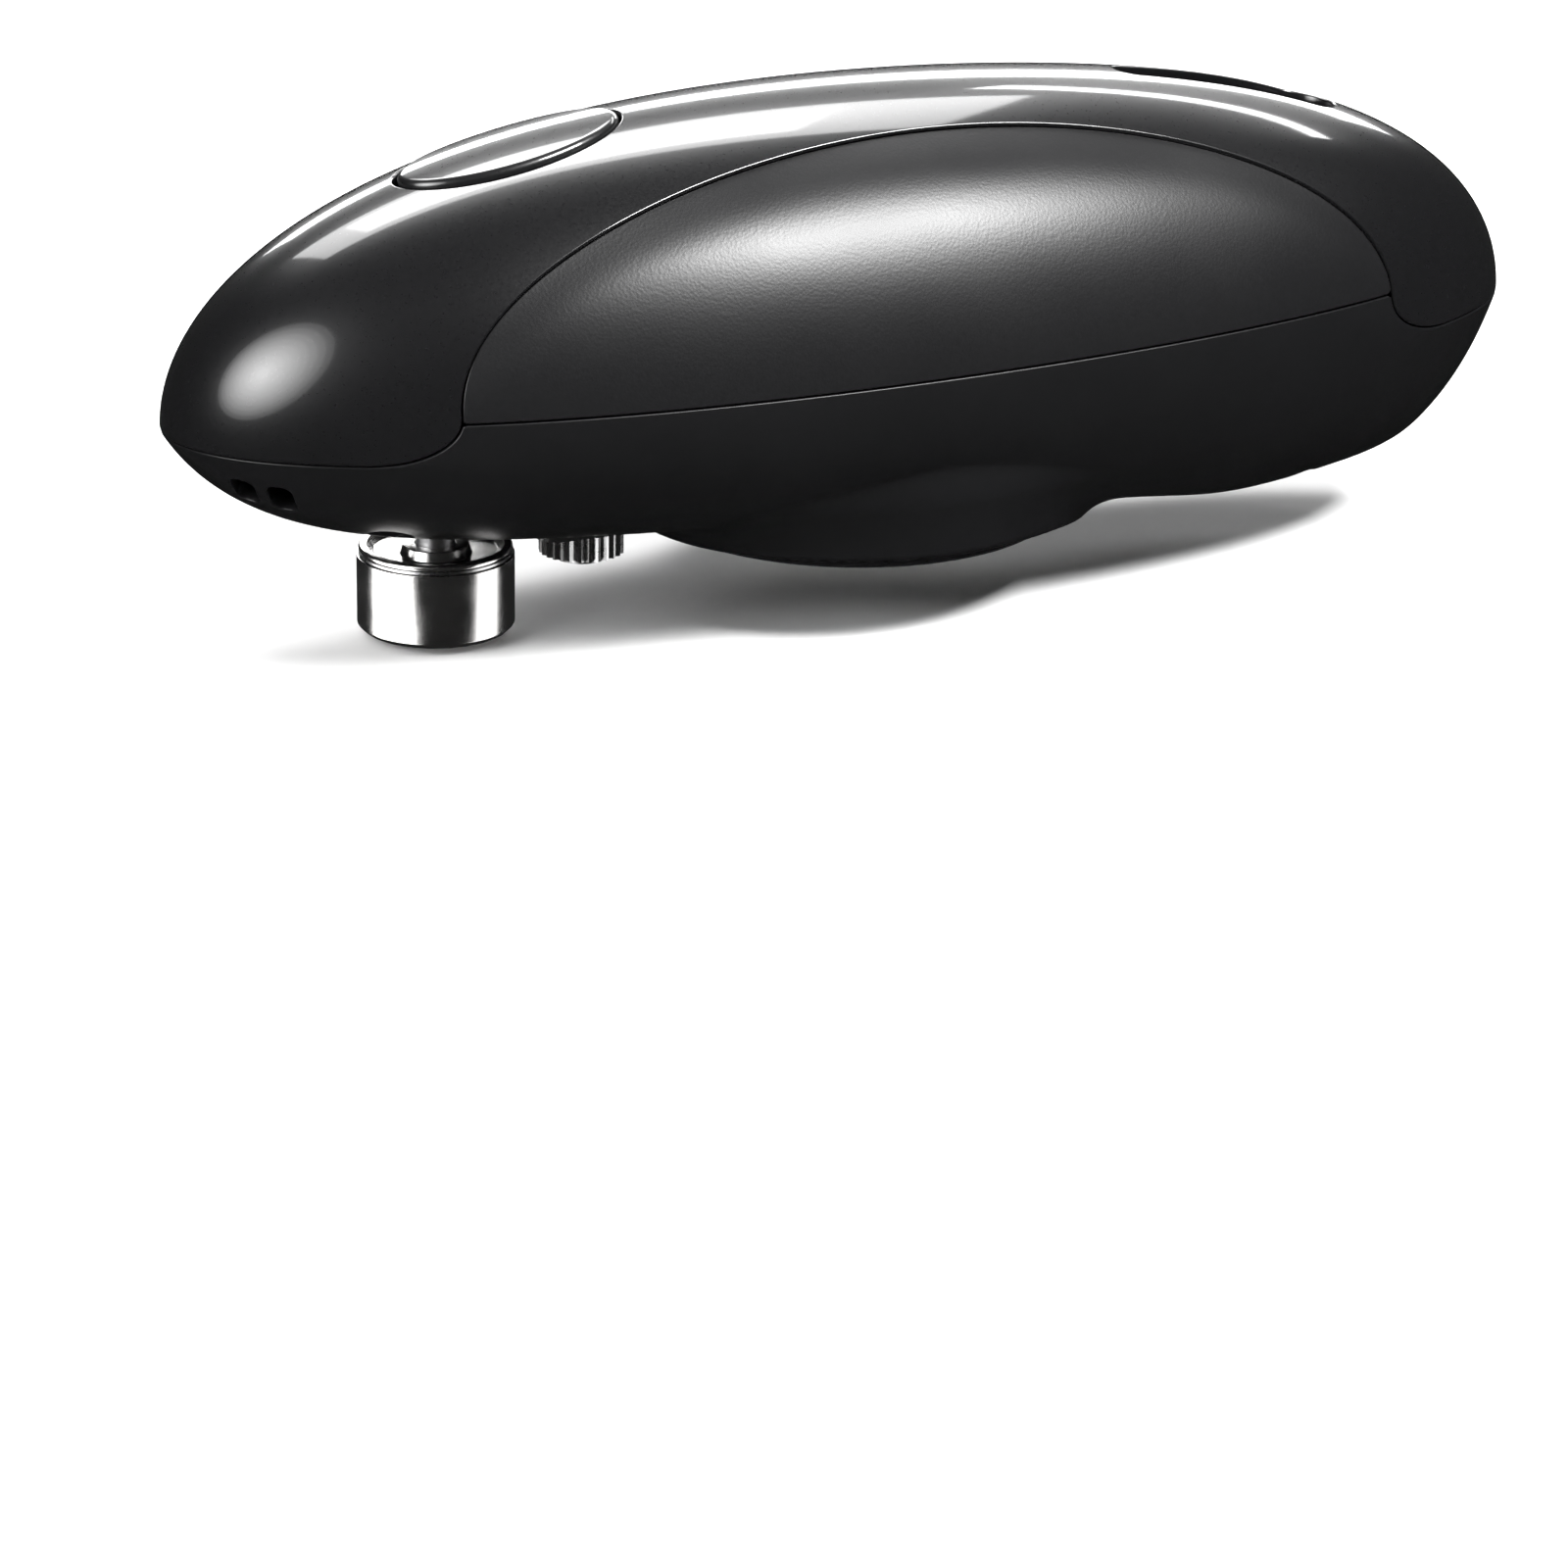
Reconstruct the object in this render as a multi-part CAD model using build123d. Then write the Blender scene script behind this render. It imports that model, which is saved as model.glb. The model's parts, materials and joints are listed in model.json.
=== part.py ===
from build123d import *

import math
import os

# One-touch electric can opener.
# Millimetres. X runs from the nose (-) to the tail (+), Y across, Z up.
# The origin is the middle of the body in plan, on the plane where a can's rim seats
# against the flat of the belly. The symmetry plane is Y = 0.

# ---------------------------------------------------------------- driving sizes
# body
body_half_length = 95.0
body_half_width = 32.8
dome_rise = 36.4  # top of the dome above the equator
bowl_drop = 18.1  # depth of the lower shell below the equator, before the belly is flattened
equator_z = 17.6  # height of the cover's lower edge at the nose and the tail
wall = 2.0
seam_gap = 0.2
bowl_edge = 1.04  # how far the bowl's own rim lies outside the equator, as a ratio

# side seams, as seen from the side
seam_z = 23.3  # panel seam at mid length
seam_tilt = 0.5  # degrees, lower at the nose
arc_half_length = 66.0
arc_rise = 26.6
corner_length = 11.0  # the S curve that drops from the arc to the cover's edge
corner_height = 5.9

# cutter roller and feed wheel
feed_x = -39.3
roller_r = 10.0
roller_bottom = -11.5
roller_groove = -1.45
roller_top = -0.4
open_gap = 4.7  # free gap between roller and feed wheel when the arm is open
rim_gap = 1.2  # gap left when the arm has closed on a rim
feed_r = 5.5
feed_bottom = -4.2
feed_top = -1.0
feed_teeth = 28

# arm
arm_pivot_y = 11.0
arm_z = 7.0
arm_thick = 1.8
arm_half_width = 4.2
arm_boss_r = 4.0
pin_depth = 2.2
pivot_r = 1.75
roller_shaft_r = 2.5

# gear train: module, teeth of the driver, teeth of the driven wheel, mesh direction
pressure_deg = 25.0
backlash = 0.12
stage_feed = (0.8, 12, 36, -25.0)  # layshaft B to drive gear
stage_mid = (0.6, 12, 40, 40.0)  # layshaft A to layshaft B
stage_motor = (0.5, 12, 42, -10.0)  # motor pinion to layshaft A
gear_level_feed = 10.2
gear_face_feed = 4.5
gear_level_mid = 15.3
gear_face_mid = 3.0
gear_level_motor = 18.9
gear_face_motor = 2.5
drive_shaft_r = 3.0
lay_pin_r = 1.0
web_a_r = 2.7
web_b_r = 3.6
running = 0.05  # radial running clearance

# gearbox plates
plate_z = 6.9
plate_thick = 2.0
plate_half_width = 19.8
plate_end_x = 14.0
bridge_z = 22.4
bridge_thick = 1.5
pillar_r = 2.2
pillar_boss_r = 3.0

# motor
motor_r = 12.0
motor_length = 23.8
motor_shaft_r = 1.0

# cell
cell_r = 9.1
cell_length = 65.0
cell_start_x = 16.6
cell_z = 13.0
contact_r = 4.0
tray_half_width = 7.5
board_z = 24.2
board_thick = 1.6
board_start_x = 15.4
board_end_x = 83.8
board_half_width = 8.5

# start button
button_x = -49.5
button_half_length = 14.7
button_half_width = 8.1
button_gap = 0.35
button_proud = 0.5
button_travel = 1.2
button_skirt = 4.6
flange_width = 1.2  # how far the button's hidden flange reaches under the cover
stem_r = 2.6
switch_plate_z = 36.6
switch_plate_thick = 1.4
switch_height = 2.2

# indicator window in the tail
window_x = 53.0
window_length = 33.0
window_narrow = 2.6
window_wide = 5.2
window_depth = 1.3

# pedestal inside the rim
pedestal_x = -1.0
pedestal_r = 27.5
pedestal_drop = 3.4
pedestal_boss_r = 30.0
pedestal_boss_z = -1.2
magnet_r = 8.0
magnet_thick = 2.4
magnet_travel = 2.0

# steel plate round the feed wheel
wear_plate_length = 16.0
wear_plate_width = 16.0
wear_plate_thick = 0.9

# fastenings
screw_r = 1.45
screw_head_r = 2.7
screw_head_h = 1.8
nose_screw = (-70.0, 11.0)
tail_screw = (58.0, 14.0)
boss_r = 4.2
boss_top_z = 15.6
screw_seat_z = 8.6
post_gap = 0.6

# charging port
port_z = 10.2
port_width = 7.6
port_height = 2.9
port_clear = 0.35
socket_start = 84.6
socket_end = 90.9

# lanyard anchor under the nose: two slots with a bar between them
lanyard_at = (-86.4, -9.9, 11.7)
lanyard_slot = (3.3, 5.4)
lanyard_bar = 1.6
lanyard_turn = 52.0
lanyard_lean = 38.0


# ---------------------------------------------------------------- derived places
arm_travel = open_gap - rim_gap
roller_x = feed_x - feed_r - open_gap - roller_r
arm_angle = math.degrees(math.asin(arm_travel / arm_pivot_y))


def mesh_distance(stage):
    return stage[0] * (stage[1] + stage[2]) / 2


def step_from(point, stage):
    angle = math.radians(stage[3])
    reach = mesh_distance(stage)
    return (point[0] + reach * math.cos(angle), point[1] + reach * math.sin(angle))


drive_at = (feed_x, 0.0)
lay_b_at = step_from(drive_at, stage_feed)
lay_a_at = step_from(lay_b_at, stage_mid)
motor_at = step_from(lay_a_at, stage_motor)
motor_bottom = bridge_z + bridge_thick
pedestal_low = pedestal_boss_z - pedestal_drop
arc_z = equator_z + corner_height
corner_x = arc_half_length + corner_length
cell_end_x = cell_start_x + cell_length
switch_top = switch_plate_z + switch_plate_thick + switch_height


# ---------------------------------------------------------------- small helpers
def rod(radius, low, high, at=(0.0, 0.0)):
    """Upright cylinder between two heights."""
    middle = (low + high) / 2
    return Pos(at[0], at[1], middle) * Cylinder(radius, high - low)


def block(x0, x1, y0, y1, z0, z1):
    centre = Pos((x0 + x1) / 2, (y0 + y1) / 2, (z0 + z1) / 2)
    return centre * Box(x1 - x0, y1 - y0, z1 - z0)


def prism(face, low, high):
    """Extrude a plan face drawn at Z 0 between two heights."""
    return Pos(0, 0, low) * extrude(face, high - low, dir=(0, 0, 1))


def side_prism(face):
    """Extrude a side-view face (drawn in X and Z) right across the body."""
    return extrude(Plane.XZ * face, body_half_width * 1.5, both=True)


def single(shape):
    """The largest solid of a result, as a plain solid."""
    return max(shape.solids(), key=lambda s: s.volume)


# ---------------------------------------------------------------- body surfaces
def width_shape(u):
    return 1 - 0.028 * u + 0.077 * u**2


def dome_shape(u):
    return 1 - 0.048 * u + 0.142 * u**2 + 0.060 * u**3


def bowl_shape(u):
    return 1 + 0.456 * u + 0.651 * u**2


def sphere_grid(reach, count):
    """Points of a unit sphere around its pole, spread over a square without a seam."""
    for i in range(count):
        row = []
        for j in range(count):
            u = reach * (2 * i / (count - 1) - 1)
            v = reach * (2 * j / (count - 1) - 1)
            d = 1 + u * u + v * v
            row.append((2 * u / d, 2 * v / d, (1 - u * u - v * v) / d))
        yield row


def dome_point(x, y, c, inset):
    along = (body_half_length - inset) * x
    across = (body_half_width - inset) * width_shape(x) * y
    return Vector(along, across, equator_z + (dome_rise - inset) * dome_shape(x) * c)


def bowl_point(x, y, c, inset):
    """A flatter bowl: its height is that of a fourth-power oval, from its own rim."""
    s2 = x * x + y * y
    rim = math.sqrt(1 - bowl_edge**-4)
    drop = (c * math.sqrt(1 + s2) - rim) / (1 - rim)
    px = bowl_edge * x
    py = bowl_edge * y
    along = (body_half_length - inset) * px
    across = (body_half_width - inset) * width_shape(px) * py
    return Vector(along, across, equator_z - (bowl_drop - inset) * bowl_shape(px) * drop)


def patch(point, inset, reach=1.5, count=41):
    grid = [[point(*p, inset) for p in row] for row in sphere_grid(reach, count)]
    return Face.make_surface_from_array_of_points(grid, tol=0.002, min_deg=3, max_deg=5)


def split_region(low, high, surface, inside):
    """The part of a big slab that lies inside or outside a surface."""
    slab = block(-120, 120, -60, 60, low, high)
    pieces = slab.split(surface, keep=Keep.ALL)
    solids = pieces.solids() if hasattr(pieces, "solids") else [s for p in pieces for s in p.solids()]
    solids = sorted(solids, key=lambda s: s.bounding_box().size.X)
    return solids[0] if inside else solids[-1]


def dome_solid(inset, low):
    return split_region(low, equator_z + dome_rise * 1.6, patch(dome_point, inset), True)


def bowl_solid(inset, low):
    """Inside of the lower body up to just above the seam."""
    high = equator_z + 8
    bowl = split_region(low, high, patch(bowl_point, inset), True)
    outside = split_region(equator_z - 6, high + 4, patch(dome_point, inset), False)
    return single(bowl - outside)


# ---------------------------------------------------------------- seam outlines, from the side
def below_seam(offset):
    """Everything under the tilted panel seam, raised by an offset."""
    plane = Pos(0, seam_z + offset) * Rot(0, 0, seam_tilt)
    return plane * Pos(0, -50) * Rectangle(300, 100)


def corner_arc(side, grow, drop):
    """Quarter of an ellipse that joins the cover's lower edge to the upright end of the arc."""
    start = 180 if side > 0 else 270
    return EllipticalCenterArc(
        (side * corner_x, arc_z), corner_length + grow, drop, start, arc_size=90
    )


def lower_outline(gap):
    """Side view of the lower shell: low at both ends, up to the seam between the corners."""
    edge = equator_z - gap
    half = arc_half_length - gap / 2
    drop = arc_z - edge
    edges = [corner_arc(1, gap / 2, drop), corner_arc(-1, gap / 2, drop)]
    around = [(corner_x, edge), (120, edge), (120, -60), (-120, -60), (-120, edge), (-corner_x, edge)]
    edges += Polyline(*around).edges()
    edges += Polyline((-half, arc_z), (-half, arc_z + 5), (half, arc_z + 5), (half, arc_z)).edges()
    return make_face(edges) & below_seam(-gap / 2)


def cover_window(gap):
    """Side view of what the cover leaves open for the panels and the lower shell."""
    half = arc_half_length + gap / 2
    drop = arc_z - equator_z
    edges = [corner_arc(1, -gap / 2, drop), corner_arc(-1, -gap / 2, drop)]
    edges.append(EllipticalCenterArc((0, arc_z), half, arc_rise + gap / 2, 0, arc_size=180))
    low = equator_z - 10
    edges += Polyline((corner_x, equator_z), (corner_x, low), (-corner_x, low), (-corner_x, equator_z)).edges()
    return make_face(edges)


def panel_outline(gap):
    whole = Pos(0, arc_z) * Ellipse(arc_half_length - gap / 2, arc_rise - gap / 2)
    return whole - below_seam(gap / 2)


# ---------------------------------------------------------------- shells
def mirrored(point):
    return [point, (point[0], -point[1])]


dome_outer = dome_solid(0, equator_z)
dome_inner = dome_solid(wall, equator_z - 3)
dome_middle = dome_solid(wall / 2, equator_z - 5)
bowl_outer = bowl_solid(0, 0.0)
bowl_inner = bowl_solid(wall, wall)
bowl_middle = bowl_solid(wall / 2, wall / 2)
bowl_room = bowl_solid(wall + 0.4, wall + 0.3)
dome_skin = dome_outer - dome_inner
bowl_skin = bowl_outer - bowl_inner

case_screw_at = mirrored(nose_screw) + mirrored(tail_screw)
pillar_at = mirrored((feed_x + 3.3, 18.3)) + mirrored((10.0, 16.0))
button_plan = Pos(button_x, 0) * Ellipse(button_half_length, button_half_width)
hole_size = (button_half_length + button_gap, button_half_width + button_gap)
button_hole = Pos(button_x, 0) * Ellipse(*hole_size)
window_start = window_x - window_length / 2 + window_narrow
window_end = window_x + window_length / 2 - window_wide


def window_plan(shrink):
    """A taper with round ends, wider towards the tail."""
    small = Pos(window_start, 0) * Circle(window_narrow - shrink)
    large = Pos(window_end, 0) * Circle(window_wide - shrink)
    return make_hull(small.edges() + large.edges())


def wear_plan(grow):
    middle = feed_x - 0.6
    return Pos(middle, 0) * RectangleRounded(wear_plate_length + 2 * grow, wear_plate_width + 2 * grow, 2.6)


def make_top_cover():
    cover = single(dome_skin - side_prism(cover_window(seam_gap)))
    posts = [rod(3.6, boss_top_z + post_gap, 70, at) & dome_middle for at in case_screw_at]
    for post in posts:
        cover += post
    for at in case_screw_at:
        cover -= rod(screw_r + 0.05, 0, boss_top_z + 9, at)
    cover -= prism(button_hole, 30, 70)
    cover -= prism(window_plan(0), 30, 70)
    return single(cover)


def make_side_panels():
    both = dome_skin & side_prism(panel_outline(seam_gap))
    solids = sorted(both.solids(), key=lambda s: s.center().Y)
    return solids[0], solids[-1]


def make_lower_shell():
    shell = single(bowl_skin & side_prism(lower_outline(seam_gap)))
    # boss that fills a can's rim, and the pad over the feed wheel
    shell += rod(pedestal_boss_r, pedestal_boss_z, 12, (pedestal_x, 0)) - bowl_middle
    pad = prism(wear_plan(0.5), wear_plate_thick, 3.0)
    shell += pad - bowl_middle
    # inner bosses, all rooted in the floor
    bosses = [rod(pillar_boss_r, -2, plate_z, at) for at in pillar_at]
    bosses += [rod(boss_r, -2, boss_top_z, at) for at in case_screw_at]
    bosses.append(rod(arm_boss_r, -2, arm_z - 0.2, (roller_x, arm_pivot_y)))
    for boss in bosses:
        shell += boss & bowl_middle
    for at in case_screw_at:
        shell -= rod(screw_r + 0.2, -2, boss_top_z + 1, at)
        shell -= rod(screw_head_r + 0.3, -2, screw_seat_z, at)
    shell -= rod(pivot_r, arm_z - pin_depth, arm_z, (roller_x, arm_pivot_y))
    # slot for the roller's shaft, bearing for the drive shaft, pocket for the magnet
    margin = roller_shaft_r + 1.1
    shell -= block(roller_x - margin, roller_x + arm_travel + margin, -margin, margin + 0.6, -3, 8)
    shell -= rod(drive_shaft_r + running, -3, 8, drive_at)
    shell -= rod(magnet_r + 0.6, pedestal_boss_z - 1, magnet_travel - 0.5, (pedestal_x, 0))
    # charging port and the two lanyard slots beside each other under the nose
    half_w = port_width / 2 + port_clear
    half_h = port_height / 2 + port_clear
    shell -= block(84, 100, -half_w, half_w, port_z - half_h, port_z + half_h)
    for turn in (-1, 1):
        across = turn * (lanyard_slot[0] + lanyard_bar) / 2
        cutter = Pos(0, across, 0) * Box(8, *lanyard_slot)
        shell -= Pos(*lanyard_at) * Rot(0, 0, lanyard_turn) * Rot(0, -lanyard_lean, 0) * cutter
    return single(shell)


# ---------------------------------------------------------------- gears
def gear_face(module, teeth, bore, tooth_at):
    """Involute spur gear in plan, with a tooth centred on the given direction in degrees."""
    pitch = module * teeth / 2
    slope = math.radians(pressure_deg)
    base = pitch * math.cos(slope)
    outer = pitch + 0.95 * module
    root = pitch - 1.25 * module
    involute = math.tan(slope) - slope
    half = math.pi / (2 * teeth) - backlash / 2 / (2 * pitch) + involute

    def flank(radius):
        roll = math.acos(min(1.0, base / radius))
        return half - (math.tan(roll) - roll)

    start = max(base, root)
    steps = [start + (outer - start) * k / 4 for k in range(5)]
    points = []
    for n in range(teeth):
        centre = math.radians(tooth_at) + 2 * math.pi * n / teeth
        radii = ([root] if root < base else []) + steps
        rising = [(r, centre - flank(max(r, start))) for r in radii]
        falling = [(r, centre + flank(max(r, start))) for r in reversed(radii)]
        points += [(r * math.cos(t), r * math.sin(t)) for r, t in rising + falling]
    return make_face(Polyline(*points, close=True).edges()) - Circle(bore)


def wheel(stage, driven, bore, level, face_width, at):
    """One of the two wheels of a stage, phased so that the pair is in mesh at rest."""
    module, small, large, direction = stage
    if driven:
        face = gear_face(module, large, bore, direction)
    else:
        face = gear_face(module, small, bore, direction + 180 + 180 / small)
    return Pos(at[0], at[1], 0) * prism(face, level, level + face_width)


def ring(outer, inner, low, high, at=(0.0, 0.0)):
    return rod(outer, low, high, at) - rod(inner, low - 1, high + 1, at)


def make_layshaft(upper_stage, lower_stage, upper, lower, at, web_r):
    """Two wheels on one hub, running on a fixed pin. The driven wheel is the upper one."""
    bore = lay_pin_r + running
    top = wheel(upper_stage, True, bore, *upper, at)
    bottom = wheel(lower_stage, False, bore, *lower, at)
    web = ring(web_r, bore, lower[0] + lower[1], upper[0], at)
    return single(top + web + bottom)


# ---------------------------------------------------------------- cutter side
def make_roller_drum():
    """A turned steel drum: chamfered foot, groove, upper band and a hollow top round a hub."""
    bore = roller_shaft_r + running
    groove_low = roller_groove - 0.3
    groove_high = roller_groove + 0.3
    profile = Polyline(
        (bore, roller_bottom),
        (roller_r - 0.7, roller_bottom),
        (roller_r, roller_bottom + 0.7),
        (roller_r, groove_low),
        (roller_r - 0.8, groove_low),
        (roller_r - 0.8, groove_high),
        (roller_r - 0.25, groove_high),
        (roller_r - 0.25, roller_top - 0.2),
        (roller_r - 0.45, roller_top),
        (roller_r - 1.3, roller_top),
        (roller_r - 2.2, roller_top - 0.9),
        (4.6, roller_top - 1.3),
        (4.2, roller_top - 0.1),
        (bore, roller_top - 0.1),
        close=True,
    )
    face = make_face((Plane.XZ * profile).edges())
    return Pos(roller_x, 0, 0) * revolve(face, Axis.Z)


def make_feed_wheel():
    """Knurled wheel: a round bar with a notch between every two teeth."""
    body = rod(feed_r, feed_bottom, feed_top, drive_at) - rod(drive_shaft_r, -20, 20, drive_at)
    notch = Rot(0, 0, 45) * Rectangle(0.85, 0.85)
    notches = Sketch() + [
        Pos(*drive_at) * Rot(0, 0, 360 * (k + 0.5) / feed_teeth) * Pos(feed_r + 0.12, 0) * notch
        for k in range(feed_teeth)
    ]
    return single(body - prism(notches, feed_bottom - 1, feed_top + 1))


def coil(radius, wire, low, high, turns, at=(0.0, 0.0)):
    """Helical spring whose wire stays between two heights."""
    height = high - low - 2 * wire
    path = Helix(pitch=height / turns, height=height, radius=radius)
    start = path @ 0
    section = Plane(origin=start, z_dir=path % 0) * Circle(wire)
    spring = sweep(section, path=path)
    return Pos(at[0], at[1], low + wire) * spring


def make_swing_arm():
    pivot = (roller_x, arm_pivot_y)
    plan = make_hull(
        (Pos(*pivot) * Circle(arm_half_width)).edges() + (Pos(roller_x, 0) * Circle(arm_half_width)).edges()
    )
    arm = prism(plan, arm_z, arm_z + arm_thick)
    arm -= rod(pivot_r + running, 0, 20, pivot)
    return arm - rod(roller_shaft_r, 0, 20, (roller_x, 0))


def make_pivot_pin():
    pivot = (roller_x, arm_pivot_y)
    pin = rod(pivot_r, arm_z - pin_depth, arm_z + arm_thick + 5.0, pivot)
    return pin + rod(3.0, arm_z + arm_thick + 5.0, arm_z + arm_thick + 5.8, pivot)


# ---------------------------------------------------------------- button and controls
def make_button():
    oval = prism(button_plan, 25, 75)
    proud = dome_solid(-button_proud, equator_z)
    skirt = dome_solid(button_skirt, equator_z - 3)
    button = (oval & proud) - skirt
    flange_size = (button_half_length + flange_width, button_half_width + flange_width)
    flange_plan = Pos(button_x, 0) * Ellipse(*flange_size)
    flange = (prism(flange_plan, 25, 75) & dome_solid(wall + 0.5, equator_z)) - skirt
    stem_low = switch_top + button_travel + 0.1
    stem = rod(stem_r, stem_low, 60, (button_x, 0)) & dome_middle
    return single(button + flange + stem)


def make_switch_bracket():
    """Plate under the button, on two posts that stand on the gearbox bridge."""
    plate = block(button_x - 9, button_x + 11, -7, 7, switch_plate_z, switch_plate_z + switch_plate_thick)
    for side in (-1, 1):
        plate += rod(1.8, bridge_z + bridge_thick, switch_plate_z + 0.5, (button_x + 8.5, side * 5.0))
    return plate


def make_window():
    shallow = dome_solid(window_depth, equator_z)
    deep = dome_solid(wall + 0.3, equator_z - 3)
    return single((prism(window_plan(0.12), 30, 70) & shallow) - deep)


# ---------------------------------------------------------------- drive line
def make_gearbox_plate():
    half = plate_half_width
    sheet = block(feed_x - 11.3, plate_end_x, -half, half, plate_z, plate_z + plate_thick)
    plate = sheet & bowl_room
    plate -= rod(drive_shaft_r + running, 0, 20, drive_at)
    for at in (lay_a_at, lay_b_at):
        plate -= rod(lay_pin_r, 0, 20, at)
    return single(plate)


def make_bridge():
    spots = [Pos(*at) * Circle(pillar_r + 1.2) for at in pillar_at]
    spots += [Pos(feed_x, 0) * Circle(drive_shaft_r + 3)]
    spots += [Pos(button_x + 8.5, side * 5.0) * Circle(3.0) for side in (-1, 1)]
    plan = make_hull([edge for spot in spots for edge in spot.edges()])
    bridge = prism(plan, bridge_z, bridge_z + bridge_thick)
    bridge -= rod(drive_shaft_r + running, 0, 40, drive_at)
    bridge -= rod(motor_shaft_r + 0.6, 0, 40, motor_at)
    for at in (lay_a_at, lay_b_at):
        bridge -= rod(lay_pin_r, 0, 40, at)
    return single(bridge)


def make_motor_case():
    case = rod(motor_r, motor_bottom, motor_bottom + motor_length, motor_at)
    case = chamfer(case.edges().filter_by(GeomType.CIRCLE), 0.8)
    return case - rod(motor_shaft_r + running, 0, motor_bottom + 7, motor_at)


# ---------------------------------------------------------------- power
def lengthways(radius, x0, x1, z):
    middle = Pos((x0 + x1) / 2, 0, z)
    return middle * Rot(0, 90, 0) * Cylinder(radius, x1 - x0)


def make_cell_holder():
    """Tray with a wall at each end of the cell, trimmed to the curve of the shell."""
    tray_z = wall + 0.3
    tray_top = cell_z - cell_r + 1.5
    half = board_half_width
    tray = block(cell_start_x - 1.8, cell_end_x + 2.2, -tray_half_width, tray_half_width, tray_z, tray_top)
    front = block(cell_start_x - 1.8, cell_start_x - 0.4, -half, half, tray_z, board_z)
    rear = block(cell_end_x + 0.8, cell_end_x + 2.2, -half, half, tray_z, board_z)
    holder = tray + front + rear
    holder -= lengthways(cell_r + 0.2, cell_start_x - 0.4, cell_end_x + 0.8, cell_z)
    low = holder & block(-200, 200, -60, 60, 0, equator_z + 4) & bowl_room
    high = holder & block(-200, 200, -60, 60, equator_z + 4, 60)
    return single(low + high)


def make_board_parts():
    """Charge controller, connector and two capacitors on the control board."""
    top = board_z + board_thick
    parts = [block(26, 33, -3.5, 3.5, top, top + 1.4), block(36, 44, 3.0, 8.0, top, top + 4.0)]
    parts += [rod(2.5, top, top + 6.0, (x, -5.0)) for x in (38.0, 44.5)]
    parts.append(block(70, 76, -4, 4, top, top + 2.2))
    return Compound(parts)


def make_magnet_cup():
    cup = rod(magnet_r, pedestal_low, pedestal_low + 0.9, (pedestal_x, 0))
    cup += ring(magnet_r, magnet_r - 0.8, pedestal_low + 0.9, pedestal_low + magnet_thick, (pedestal_x, 0))
    return cup


# ---------------------------------------------------------------- pedestal
def make_pedestal():
    """Stepped disc with rounded shoulders that drops inside the can's rim."""
    hole = magnet_r + 0.4
    r = pedestal_r
    profile = Polyline(
        (hole, pedestal_boss_z),
        (r, pedestal_boss_z),
        (r, pedestal_boss_z - 1.2),
        (r - 0.8, pedestal_boss_z - 1.7),
        (r - 4.6, pedestal_boss_z - 1.7),
        (r - 5.2, pedestal_boss_z - 2.1),
        (r - 5.2, pedestal_low + 0.5),
        (r - 5.9, pedestal_low),
        (hole + 2.0, pedestal_low),
        (hole, pedestal_low + 0.6),
        close=True,
    )
    face = make_face((Plane.XZ * profile).edges())
    return Pos(pedestal_x, 0, 0) * revolve(face, Axis.Z)


def make_case_screw(at):
    screw = rod(screw_r, screw_seat_z - 0.2, boss_top_z + 8.0, at)
    return screw + rod(screw_head_r, screw_seat_z - screw_head_h, screw_seat_z, at)


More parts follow.
